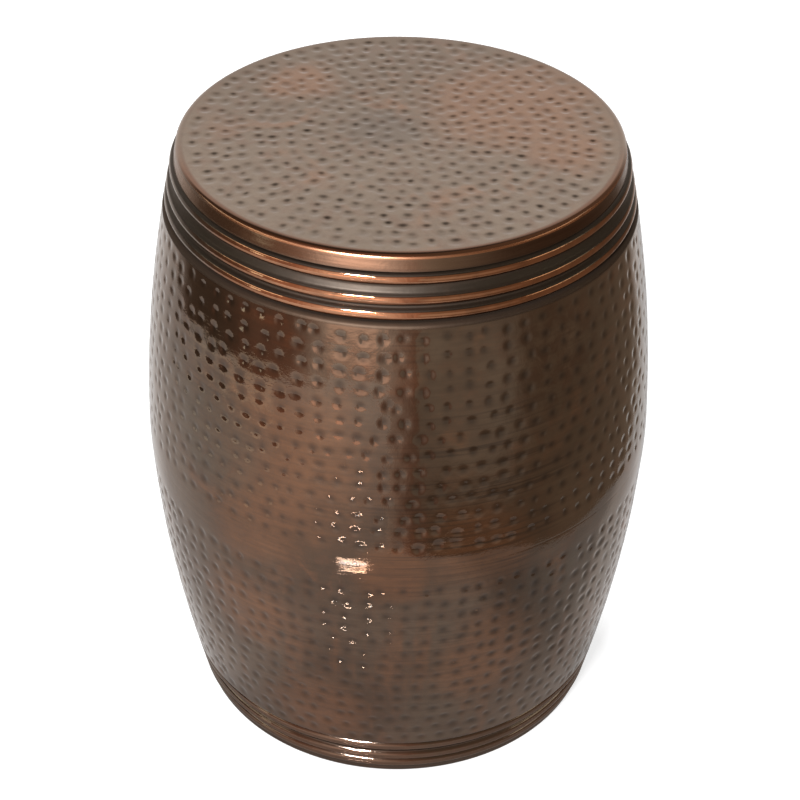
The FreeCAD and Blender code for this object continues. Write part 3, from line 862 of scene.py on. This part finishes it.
def wear_patina_and_shade(plate, colour):
    """Crests rubbed to bright copper with a painted highlight and shade, dents and grooves dark with patina
    and painted shade, and painted shade on the shoulder.
    """
    ease, mix = plate.graph.ease, plate.graph.mix
    rubbed = ease(plate.worn, 0.45, 0.75) * ease(plate.mottle, 0.25, 0.6, 0.65, 1.0)
    rubbed = rubbed * ease(plate.y, -0.05, -0.13, 0.5, 1.0) * ease(plate.z, 0.05, 0.40, 0.18, 1.0)
    # Rubbed crests are copper wear, painted with a highlight on the lamp's side, painted shade aside and a
    # pale painted reflection at the far left.
    bright = mix(ease(plate.aside, 0.035, 0.10), CREST_LIT, CREST_SHADED_ASIDE)
    bright = mix(ease(plate.x, -0.105, -0.14), bright, CREST_PAINTED_REFLECTION_LEFT)
    colour = mix(rubbed * 0.95, colour, bright)
    # Dents and grooves darkened: dark patina, with painted shade that deepens towards the right and is
    # weaker on the top.
    patina_and_shade_share = ease(plate.x, 0.0, 0.09, 0.6, 0.85) * (1.0 - plate.on_top) + plate.on_top * 0.28
    dark = (plate.dent * patina_and_shade_share).most(plate.hollow * 0.6)
    colour = mix(dark, colour, HOLLOW_PATINA_AND_SHADE)
    # The ledge under the third bead is darkened, more away from the lamp's side: painted shade.
    return mix(plate.ledge * ease(plate.aside, 0.02, 0.085, 0.45, 0.8), colour, LEDGE_PAINTED_SHADE)


def sheen(plate):
    """Roughness: low on the lacquered body, more on the collar, and matt on the lands of the top beads."""
    ease = plate.graph.ease
    rough = ease(plate.lines, 0.3, 0.7, 0.02, 0.06) + plate.blotch * 0.02 + plate.hollow * 0.25
    rough = rough + plate.collar * 0.16 + plate.on_top * 0.10
    land = plate.beaded * ease(plate.z, 0.1, 0.3, 0.05, 0.42)
    return rough + land * (1.0 - ease(plate.worn, 0.2, 0.7) * 0.98) + plate.ledge * 0.35


def antique_copper():
    """Lacquered copper plate: brown patina, warm patches, spin lines, dark dents and rubbed crests, with
    painted highlights, reflections and shade on the top, collar, beads, grooves and dents.
    """
    material, graph = new_material("antique_copper")
    plate = Plate(graph)
    colour = spin_lines(plate, patina(plate))
    colour = wear_patina_and_shade(plate, bands(plate, colour))
    bare = plate.beaded.most(plate.collar).most(plate.ledge)
    height = (plate.lines * 0.45 + plate.wide_lines * 0.8 + plate.mottle * 4.5) * plate.off_top
    graph.principled({
        "Metallic": 1.0, "Specular Tint": (0.92, 0.86, 0.82, 1), "Coat Roughness": 0.06,
        "Base Color": colour, "Roughness": sheen(plate), "Coat Weight": 0.45 - bare * 0.45,
        "Normal": graph.bump(0.11, 0.0004, height + plate.fleck * 0.12)})
    return material


def plain_metal(name, dark, light, rough):
    """Bare steel with scale, fine scratches and a dusty bloom."""
    material, graph = new_material(name)
    cloud = graph.noise(graph.place(), 35.0, 4.0, 0.6, 0.3)
    grain = graph.noise(graph.place((40, 40, 900)), 1.0, 3.0, 0.6)
    colour = graph.mix(graph.ease(cloud, 0.3, 0.7), dark, light)
    scratch_brown = (0.10, 0.075, 0.06, 1)
    colour = graph.mix(graph.ease(grain, 0.45, 0.8, 0.0, 0.4), colour, scratch_brown)
    graph.principled({
        "Metallic": 1.0, "Base Color": colour,
        "Roughness": graph.ease(cloud, 0.3, 0.7, rough - 0.08, rough + 0.1),
        "Normal": graph.bump(0.25, 0.0004, cloud + grain * 0.4)})
    return material


def rubber():
    """Black moulded rubber, a little dusty."""
    material, graph = new_material("black_rubber")
    grain = graph.noise(graph.place(), 900.0, 3.0, 0.6)
    dust = graph.noise(graph.place(), 60.0, 3.0, 0.5)
    black, dusty = (0.018, 0.018, 0.018, 1), (0.06, 0.055, 0.05, 1)
    graph.principled({
        "Metallic": 0.0, "Base Color": graph.mix(graph.ease(dust, 0.4, 0.75, 0.0, 0.5), black, dusty),
        "Roughness": graph.ease(dust, 0.3, 0.7, 0.62, 0.85),
        "Normal": graph.bump(0.3, 0.0002, grain)})
    return material


def dress(piece, material, *nodes):
    """Puts a piece in place of CAD nodes, on the one body."""
    piece.data.materials.append(material)
    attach(piece, "root")
    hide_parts(*nodes)


copper = antique_copper()
dress(make_top(), copper, "top_panel")
dress(make_upper(), copper, "upper_shell")
dress(make_lower(), copper, "lower_shell")
dress(make_belly_seam(), copper, "belly_weld")

finishes = {
    "mild_steel": plain_metal("mild_steel", (0.20, 0.185, 0.18, 1), (0.32, 0.30, 0.29, 1), 0.42),
    "weld_metal": plain_metal("weld_metal", (0.24, 0.22, 0.21, 1), (0.40, 0.36, 0.33, 1), 0.36),
    "black_rubber": rubber(),
}
for entry in frame["record"]["subparts"]:
    if entry["material_slot"] in finishes:
        node = frame["nodes"][entry["node"]]
        node.data.materials.clear()
        node.data.materials.append(finishes[entry["material_slot"]])

# The floor sheet's outline, in metres: its edge is what the lower half of the drum mirrors
FLOOR_EDGE = [
    (-1.0, 1.8), (-0.90, 0.25), (-0.99, 0.03), (-1.02, -0.21), (-0.98, -0.41), (-0.93, -0.69),
    (-0.79, -0.95), (-0.60, -1.14), (-0.66, -1.3), (-0.09, -1.3), (-0.04, -0.55), (0.17, -0.48),
    (0.30, -0.38), (0.36, -0.21), (0.44, -0.03), (0.45, 0.2), (0.54, 0.47), (0.8, 1.8)]

# How much of the floor the camera sees as glow, and how much of it mirrors
FLOOR_GLOW = 0.7
FLOOR_POLISH = 0.17

# Colours of the floor, the backdrop and the room
WHITE = (1, 1, 1, 1)
FLOOR_PALE = (0.49, 0.49, 0.49, 1)
FLOOR_NEAR = (0.48, 0.48, 0.48, 1)
FLOOR_PAINTED_SHADE = (0.32, 0.32, 0.32, 1)
FILL_GREY = (0.5, 0.5, 0.5, 1)
BACKDROP_TOP = (1.06, 1.06, 1.06, 1)
DIM_CEILING = (0.10, 0.098, 0.095, 1)
ROOM_MIDDLE = (0.44, 0.28, 0.21, 1)
ROOM_RIGHT = (0.28, 0.22, 0.165, 1)
ROOM_LEFT = (0.16, 0.12, 0.09, 1)
LIT_WALL = (0.95, 0.88, 0.82, 1)
LEFT_PANEL = (2.0, 1.60, 1.38, 1)
LEFT_PANEL_FOOT = (0.42, 0.34, 0.29, 1)
RIGHT_PANEL = (0.49, 0.45, 0.39, 1)
WINDOW_LIGHT = (1.6, 1.75, 1.55, 1)
STRIP_LIGHT = (2.2, 2.25, 1.9, 1)


def make_floor():
    """A pale polished sheet that looks plain white to the camera and keeps the table's soft shadow; in the
    drum's reflections it is painted darker at the front right: painted shade.
    """
    mesh = bpy.data.meshes.new("floor")
    mesh.from_pydata([(x, y, 0) for x, y in FLOOR_EDGE], [], [tuple(range(len(FLOOR_EDGE)))])
    floor = bpy.data.objects.new("floor", mesh)
    scene.collection.objects.link(floor)
    material, graph = new_material("pale_floor")
    camera, glossy = [graph.node("ShaderNodeLightPath", output=name) for name in (
        "Is Camera Ray", "Is Glossy Ray")]
    x, y, _ = graph.split(graph.place())
    # Painted darker at the front right, most to the right: painted shade that the drum mirrors.
    near_right = graph.ease(x * 0.555 - y * 0.832, 0.17, 0.22) * graph.ease(x, -0.05, 0.02)
    dim = graph.mix(graph.ease(x, 0.14, 0.24), FLOOR_NEAR, FLOOR_PAINTED_SHADE)
    tone = graph.mix(near_right, FLOOR_PALE, dim)
    matt = graph.node("ShaderNodeBsdfDiffuse", {}, {"Color": tone})
    glow = graph.node("ShaderNodeEmission", {}, {"Color": WHITE, "Strength": camera * FLOOR_GLOW})
    polish = graph.node("ShaderNodeBsdfGlossy", {}, {"Color": WHITE, "Roughness": 0.02})
    both = graph.node("ShaderNodeAddShader", {}, {0: matt, 1: glow})
    whole = graph.node("ShaderNodeMixShader", {}, {0: glossy * FLOOR_POLISH, 1: both, 2: polish})
    below = graph.node("ShaderNodeNewGeometry", output="Backfacing")
    clear = graph.node("ShaderNodeBsdfTransparent")
    whole = graph.node("ShaderNodeMixShader", {}, {0: below, 1: whole, 2: clear})
    graph.node("ShaderNodeOutputMaterial", {}, {"Surface": whole})
    mesh.materials.append(material)


def mirrored_room(graph, bearing, rise):
    """The dim warm room that the drum mirrors in front: a lit wall, pale panels, a window and strip lights.

    Bearings are in degrees from the front, positive to the right, and rises in degrees from level.
    """
    ease, mix = graph.ease, graph.mix
    room = mix(ease(bearing, 2.0, 20.0), ROOM_MIDDLE, ROOM_RIGHT)
    room = mix(ease(bearing, -54.0, -92.0), room, ROOM_LEFT)
    wall = ease(bearing, -50.0, -28.0) * ease(bearing, 10.0, -10.0) * ease(rise, 34.0, 20.0)
    room = mix(wall, room, LIT_WALL)
    low = ease(rise, 10.0, -5.0)
    left_panel = ease(bearing, -36.0, -27.0) * ease(bearing, -5.0, -9.5) * low
    pale = mix(ease(rise, -10.0, -21.0), LEFT_PANEL, LEFT_PANEL_FOOT)
    room = mix(left_panel, room, pale)
    right_panel = ease(bearing, 7.5, 10.0) * ease(bearing, 64.0, 40.0) * low * ease(rise, -36.0, -24.0)
    room = mix(right_panel, room, RIGHT_PANEL)
    window = ease(bearing, -71.0, -69.0) * ease(bearing, -63.0, -65.0)
    window = window * ease(rise, -13.0, -11.0) * ease(rise, 8.0, 6.0)
    room = mix(window, room, WINDOW_LIGHT)
    strips = ease(bearing, -52.0, -58.0) * ease(bearing, -116.0, -108.0)
    strips = strips + ease(bearing, 58.0, 66.0) * ease(bearing, 106.0, 98.0)
    strips = strips * ease(rise, 17.0, 19.0) * ease(rise, 25.0, 23.0)
    return mix(strips, room, STRIP_LIGHT)


def make_world():
    """A studio: white to the camera, an even grey fill, and in reflections a room and a white backdrop.

    The backdrop is behind the table and fades into a dim ceiling.
    """
    world = bpy.data.worlds.new("studio")
    scene.world = world
    world.use_nodes = True
    graph = Graph(world.node_tree)
    ease, mix = graph.ease, graph.mix
    x, y, z = graph.split(graph.node("ShaderNodeTexCoord", output="Generated"))
    bearing = x.math("ARCTAN2", x, y * -1.0) * (180 / math.pi)
    rise = z.math("ARCSINE", z) * (180 / math.pi)
    behind = ease(bearing, -105.0, -145.0) + ease(bearing, 126.0, 154.0)
    over = rise - ease(abs(bearing), 115.0, 155.0, 6.0, 37.0)
    backdrop = mix(ease(rise, 5.0, 36.0), WHITE, BACKDROP_TOP)
    backdrop = mix(ease(over, 0.0, 23.0), backdrop, DIM_CEILING)
    reflected = mix(behind, mirrored_room(graph, bearing, rise), backdrop)
    camera, glossy, through = [graph.node("ShaderNodeLightPath", output=name) for name in (
        "Is Camera Ray", "Is Glossy Ray", "Is Transmission Ray")]
    colour = mix(glossy.most(through), FILL_GREY, reflected)
    colour = mix(camera, colour, WHITE)
    back = graph.node("ShaderNodeBackground", {}, {"Color": colour, "Strength": 1.0})
    graph.node("ShaderNodeOutputWorld", {}, {"Surface": back})


# The point that lamps and camera face, in metres, and the photo's camera
DRUM_MIDDLE = Vector((0, 0, 0.23))
PHOTO_WIDTH = 800
SENSOR_MM = 36.0
LENS_MM = 86.76
SHIFT_X = 1.98 / PHOTO_WIDTH
SHIFT_Y = 5.68 / PHOTO_WIDTH
CAMERA_RISE = 36.696
CAMERA_REACH = 1.4302
CAMERA_ROLL = 0.658


def heading(bearing, rise):
    """The way out from the drum at a bearing from the front and a rise from level, in degrees."""
    turn, lift = math.radians(bearing), math.radians(rise)
    return Vector((math.sin(turn) * math.cos(lift), -math.cos(turn) * math.cos(lift), math.sin(lift)))


def make_lamp(name, bearing, rise, reach, wide, tall, power):
    """A studio lamp that faces the drum's middle."""
    lamp = bpy.data.lights.new(name, "AREA")
    lamp.shape = "RECTANGLE"
    lamp.size = wide
    lamp.size_y = tall
    lamp.energy = power
    holder = bpy.data.objects.new(name, lamp)
    way = heading(bearing, rise)
    holder.location = DRUM_MIDDLE + way * reach
    holder.rotation_euler = way.to_track_quat("Z", "Y").to_euler()
    scene.collection.objects.link(holder)
    return holder


def make_camera():
    """The photo's view: from the front, well above the table, with its slight lean."""
    lens = bpy.data.cameras.new("photo_view")
    lens.sensor_fit = "HORIZONTAL"
    lens.sensor_width = SENSOR_MM
    lens.lens = LENS_MM
    lens.shift_x = SHIFT_X
    lens.shift_y = SHIFT_Y
    camera = bpy.data.objects.new("photo_view", lens)
    way = heading(0.0, CAMERA_RISE)
    spot = Matrix.Translation(DRUM_MIDDLE + way * CAMERA_REACH)
    aim = way.to_track_quat("Z", "Y").to_matrix().to_4x4()
    camera.matrix_world = spot @ aim @ Matrix.Rotation(math.radians(CAMERA_ROLL), 4, "Z")
    scene.collection.objects.link(camera)
    scene.camera = camera


make_floor()
make_world()
make_lamp("front_lamp", bearing=-19.0, rise=30.0, reach=2.5, wide=0.46, tall=0.038, power=66.0)
back_lamp = make_lamp("back_lamp", bearing=-166.0, rise=40.0, reach=2.0, wide=0.6, tall=0.6, power=30.0)
back_lamp.visible_glossy = False
make_lamp("inside_lamp", bearing=0.0, rise=-90.0, reach=0.215, wide=0.16, tall=0.16, power=1.0)
make_camera()
